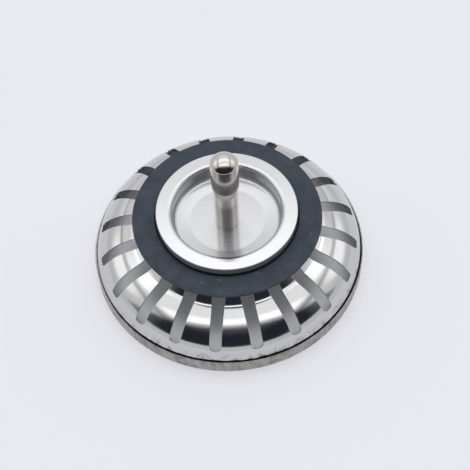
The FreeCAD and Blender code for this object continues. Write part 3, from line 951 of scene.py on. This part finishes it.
def pale_floor(studio):
    """Pale matt board on a light table, whose glow leaves the shade on it faint, with a ring of painted
    light under the slots.
    """
    material, tree, place = start_material("pale_matt_board")
    grain = add_node(tree, "TexNoise", {"Vector": place, "Scale": 1 / (0.6 * MM), "Detail": 2.0})
    bump = add_node(tree, "Bump", {"Height": grain, "Distance": 0.01 * MM, "Strength": 0.5})
    board = add_node(tree, "BsdfPrincipled", {
        "Base Color": studio.floor, "Roughness": 0.9, "Specular IOR Level": 0.1, "Normal": bump})
    glow = add_node(tree, "Emission", {"Color": studio.floor, "Strength": studio.glow})
    rays = add_node(tree, "LightPath", {}).outputs
    seen = rays["Is Camera Ray"]
    for name in ("Is Glossy Ray", "Is Transmission Ray"):
        seen = add_node(tree, "Math", {0: seen, 1: rays[name]}, operation="MAXIMUM")
    # a painted pool of light: under the strainer the board glows in a ring where the light falls through the
    # slots
    radius = add_node(tree, "VectorMath", {0: place}, operation="LENGTH")
    ring = soft_region(tree, (radius, PAINTED_SLOT_LIGHT_INSIDE, PAINTED_SLOT_LIGHT_MIDDLE),
                       (radius, PAINTED_SLOT_LIGHT_OUTSIDE, PAINTED_SLOT_LIGHT_MIDDLE))
    around = add_node(tree, "MapRange", {
        "Value": radius, "From Min": RIM_RADIUS - MM, "From Max": RIM_RADIUS, "To Max": studio.floor_glow})
    share = add_node(tree, "Math", {0: ring, 1: studio.inner_glow, 2: around}, operation="MULTIPLY_ADD")
    share = add_node(tree, "Math", {0: share, 1: seen}, operation="MULTIPLY")
    lit = add_node(tree, "MixShader", {0: share, 1: board, 2: glow})
    add_node(tree, "OutputMaterial", {"Surface": lit})
    return material


# Studio
def light_tent(studio):
    """World of a pale tent with soft lamps behind its cloth, and a dim room past its open front."""
    world = bpy.data.worlds.new("light_tent")
    bpy.context.scene.world = world
    world.use_nodes = True
    tree = world.node_tree
    tree.nodes.clear()
    degree = math.radians(1)
    way = add_node(tree, "TexCoord", {}).outputs["Generated"]
    parts = add_node(tree, "SeparateXYZ", {"Vector": way}).outputs
    height = add_node(tree, "Math", {0: parts["Z"]}, operation="ARCSINE")
    towards_front = add_node(tree, "Math", {0: parts["Y"], 1: -1.0}, operation="MULTIPLY")
    aside = add_node(tree, "Math", {0: parts["X"], 1: towards_front}, operation="ARCTAN2")
    aside = add_node(tree, "Math", {0: aside}, operation="ABSOLUTE")
    # across and along a level plane at unit height
    across = add_node(tree, "Math", {0: parts["X"], 1: parts["Z"]}, operation="DIVIDE")
    across = add_node(tree, "Math", {0: across}, operation="ABSOLUTE")
    along = add_node(tree, "Math", {0: parts["Y"], 1: parts["Z"]}, operation="DIVIDE")

    # the cloth at the sides and the back, and its foot
    to_back = soft_region(tree, (aside, 115 * degree, 150 * degree))
    above_foot = soft_region(tree, (height, 4 * degree, 36 * degree))
    upper = add_node(tree, "Mix", {"Factor": to_back, "A": studio.cloth, "B": studio.back})
    level = add_node(tree, "Mix", {"Factor": above_foot, "A": studio.foot, "B": upper})

    # side lamps, brightest in their middle
    lamp_height = 34 * degree
    lamp_core = math.cos(7 * degree)
    lamp_edge = math.cos(23 * degree)
    for turn in (-110 * degree, 110 * degree):
        spot = Matrix.Rotation(turn, 3, "Z") @ Matrix.Rotation(-lamp_height, 3, "X") @ Vector((0, -1, 0))
        nearness = add_node(tree, "VectorMath", {0: way, 1: spot}, operation="DOT_PRODUCT")
        lamp = soft_region(tree, (nearness, lamp_edge, lamp_core))
        level = add_node(tree, "Mix", {"Factor": lamp, "A": level, "B": studio.side})

    # the bright roof and two lamps across it: middle, half breadth, half breadth with its soft edge
    for middle, core, edge, brightness in (
            (0.1, 0.2, 0.45, studio.roof),
            (-0.21, 0.06, 0.23, studio.front),
            (0.46, 0.16, 0.3, studio.rear)):
        off = add_node(tree, "Math", {0: along, 1: middle}, operation="SUBTRACT")
        off = add_node(tree, "Math", {0: off}, operation="ABSOLUTE")
        lamp = soft_region(tree, (off, edge, core), (across, 0.78, 0.5), (height, 10 * degree, 25 * degree))
        level = add_node(tree, "Mix", {"Factor": lamp, "A": level, "B": brightness})

    # a dim seam along each side of the roof
    seam_at = 0.88
    seam_shade = 0.45
    off = add_node(tree, "Math", {0: across, 1: seam_at}, operation="SUBTRACT")
    off = add_node(tree, "Math", {0: off}, operation="ABSOLUTE")
    seam = soft_region(tree, (off, 0.2, 0.04), (height, 20 * degree, 30 * degree))
    seam = add_node(tree, "Math", {0: seam, 1: seam_shade}, operation="MULTIPLY")
    level = add_node(tree, "Mix", {"Factor": seam, "A": level, "B": 0.0})

    # the front is open between the floor and the roof's front edge
    opening = soft_region(tree, (height, 9.5 * degree, 13.5 * degree), (along, -0.31, -0.65),
                          (aside, 108 * degree, 54 * degree))
    high_up = soft_region(tree, (height, 40 * degree, 60 * degree))
    room = add_node(tree, "Mix", {"Factor": high_up, 6: studio.room, 7: studio.room_top}, data_type="RGBA")
    seen = add_node(tree, "Mix", {"Factor": opening, 6: level, 7: room}, data_type="RGBA")
    tent = add_node(tree, "Background", {"Color": seen, "Strength": studio.light})

    # past the floor's edge the camera sees a plain backdrop
    backdrop = add_node(tree, "Background", {"Color": studio.floor, "Strength": studio.backdrop})
    by_camera = add_node(tree, "LightPath", {}).outputs["Is Camera Ray"]
    around = add_node(tree, "MixShader", {0: by_camera, 1: tent, 2: backdrop})
    add_node(tree, "OutputWorld", {"Surface": around})


def add_camera(studio):
    data = bpy.data.cameras.new("camera")
    data.sensor_fit = "HORIZONTAL"
    data.lens = data.sensor_width * studio.lens_pixels / studio.image_pixels
    camera = bpy.data.objects.new("camera", data)
    bpy.context.scene.collection.objects.link(camera)
    camera.matrix_world = (
        Matrix.Rotation(studio.heading, 4, "Z")
        @ Matrix.Rotation(math.pi / 2 - studio.elevation, 4, "X")
        @ Matrix.Rotation(studio.roll, 4, "Z")
        @ Matrix.Translation((studio.aside, studio.above, studio.distance)))
    bpy.context.scene.camera = camera


def add_piece(mesh, material, body, slot, *nodes):
    """Puts a mesh on the body that it moves with, in place of the nodes that it stands for."""
    piece = bpy.data.objects.new(mesh.name, mesh)
    bpy.context.scene.collection.objects.link(piece)
    mesh.materials.append(material)
    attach(piece, body)
    if nodes:
        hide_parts(*nodes)


class STRAINER_OT_basket(Operator):
    """Press the bowl with its slots and folded rim"""
    bl_idname = "strainer.basket"
    bl_label = "Basket"

    def execute(self, context):
        settings = context.scene.strainer
        basket = settings.basket
        bowl = pressed_basket(basket, settings.knob.hole_radius)
        add_piece(bowl, buffed_stainless(basket, settings.colours),
                  "strainer", "polished_stainless", "strainer_basket")
        return {"FINISHED"}


class STRAINER_OT_seal(Operator):
    """Mould the seal ring"""
    bl_idname = "strainer.seal"
    bl_label = "Seal ring"

    def execute(self, context):
        settings = context.scene.strainer
        seal = settings.seal
        add_piece(turned("moulded_seal", seal_section(seal)), seal_rubber(seal, settings.colours),
                  "strainer", "seal_rubber", "seal_ring")
        return {"FINISHED"}


class STRAINER_OT_retainer(Operator):
    """Press the dish that holds the seal down"""
    bl_idname = "strainer.retainer"
    bl_label = "Seal retainer"

    def execute(self, context):
        settings = context.scene.strainer
        retainer = settings.retainer
        section = retainer_section(retainer, settings.knob.hole_radius)
        add_piece(turned("pressed_retainer", section), satin_stainless(retainer, settings.colours),
                  "strainer", "satin_stainless", "seal_retainer")
        return {"FINISHED"}


class STRAINER_OT_stem(Operator):
    """Turn the stem, cut its thread and fit its sealing ring"""
    bl_idname = "strainer.stem"
    bl_label = "Stem and ring"

    def execute(self, context):
        settings = context.scene.strainer
        stem = settings.stem
        colours = settings.colours
        steel = turned_stainless("turned_304_stainless", colours.turned, shine=0.08, groove=0.002 * MM)
        add_piece(turned("turned_stem", stem_section(stem)), steel, "stem", "turned_stainless", "stem")
        add_piece(threaded_tail(stem), steel, "stem", "turned_stainless")
        add_piece(turned("sealing_ring", ring_section(stem)), ring_rubber(colours),
                  "stem_seal", "ring_rubber", "stem_o_ring")
        return {"FINISHED"}


class STRAINER_OT_knob(Operator):
    """Turn the lifting knob and stamp its two washers"""
    bl_idname = "strainer.knob"
    bl_label = "Knob and washers"

    def execute(self, context):
        settings = context.scene.strainer
        knob = settings.knob
        colours = settings.colours
        steel = turned_stainless("turned_303_stainless", colours.turned, shine=0.16, groove=0.004 * MM)
        stamped = turned_stainless("stamped_304_stainless", colours.satin, shine=0.2, groove=0.003 * MM)
        spring = turned_stainless("rolled_spring_stainless", colours.spring, shine=0.22, groove=0.003 * MM)
        washer = washer_section(knob, WASHER_RADIUS, WASHER_Z, WASHER_TOP_Z)
        lock = washer_section(knob, LOCK_RADIUS, LOCK_Z, LOCK_TOP_Z)
        add_piece(turned("turned_knob", knob_section(knob)), steel, "strainer", "turned_stainless",
                  "lifting_knob")
        add_piece(turned("flat_washer", washer), stamped, "strainer", "satin_stainless", "knob_washer")
        add_piece(turned("split_washer", lock, knob.split_width), spring, "strainer", "spring_stainless",
                  "lock_washer")
        return {"FINISHED"}


class STRAINER_OT_stage(Operator):
    """Lay the floor, light the tent and set up the camera"""
    bl_idname = "strainer.stage"
    bl_label = "Stage"

    def execute(self, context):
        studio = context.scene.strainer.studio
        mesh = bpy.data.meshes.new("floor")
        sides = ((-1, -1), (1, -1), (1, 1), (-1, 1))
        mesh.from_pydata([(x * FLOOR_REACH, y * FLOOR_REACH, 0) for x, y in sides], [], [(0, 1, 2, 3)])
        mesh.materials.append(pale_floor(studio))
        floor = bpy.data.objects.new("floor", mesh)
        context.scene.collection.objects.link(floor)
        light_tent(studio)
        add_camera(studio)
        context.scene.view_settings.view_transform = "Standard"
        return {"FINISHED"}


class VIEW3D_PT_strainer(Panel):
    """Sizes, colours and steps of the strainer"""
    bl_label = "Strainer"
    bl_space_type = "VIEW_3D"
    bl_region_type = "UI"
    bl_category = "Strainer"

    def draw(self, context):
        settings = context.scene.strainer
        for step, group in STEPS:
            box = self.layout.box()
            box.operator(step.bl_idname)
            values = getattr(settings, group)
            for name in values.__annotations__:
                box.prop(values, name)
        for name in settings.colours.__annotations__:
            self.layout.prop(settings.colours, name)


STEPS = (
    (STRAINER_OT_basket, "basket"),
    (STRAINER_OT_seal, "seal"),
    (STRAINER_OT_retainer, "retainer"),
    (STRAINER_OT_stem, "stem"),
    (STRAINER_OT_knob, "knob"),
    (STRAINER_OT_stage, "studio"),
)
CLASSES = (
    BasketSizes, SealSizes, RetainerSizes, StemSizes, KnobSizes, FinishColours, StudioSettings,
    StrainerSettings, *(step for step, group in STEPS), VIEW3D_PT_strainer,
)


def register():
    for made in CLASSES:
        bpy.utils.register_class(made)
    bpy.types.Scene.strainer = PointerProperty(type=StrainerSettings)


def unregister():
    del bpy.types.Scene.strainer
    for made in reversed(CLASSES):
        bpy.utils.unregister_class(made)


def main():
    register()
    bpy.ops.strainer.basket()
    bpy.ops.strainer.seal()
    bpy.ops.strainer.retainer()
    bpy.ops.strainer.stem()
    bpy.ops.strainer.knob()
    bpy.ops.strainer.stage()


if __name__ == "__main__":
    main()
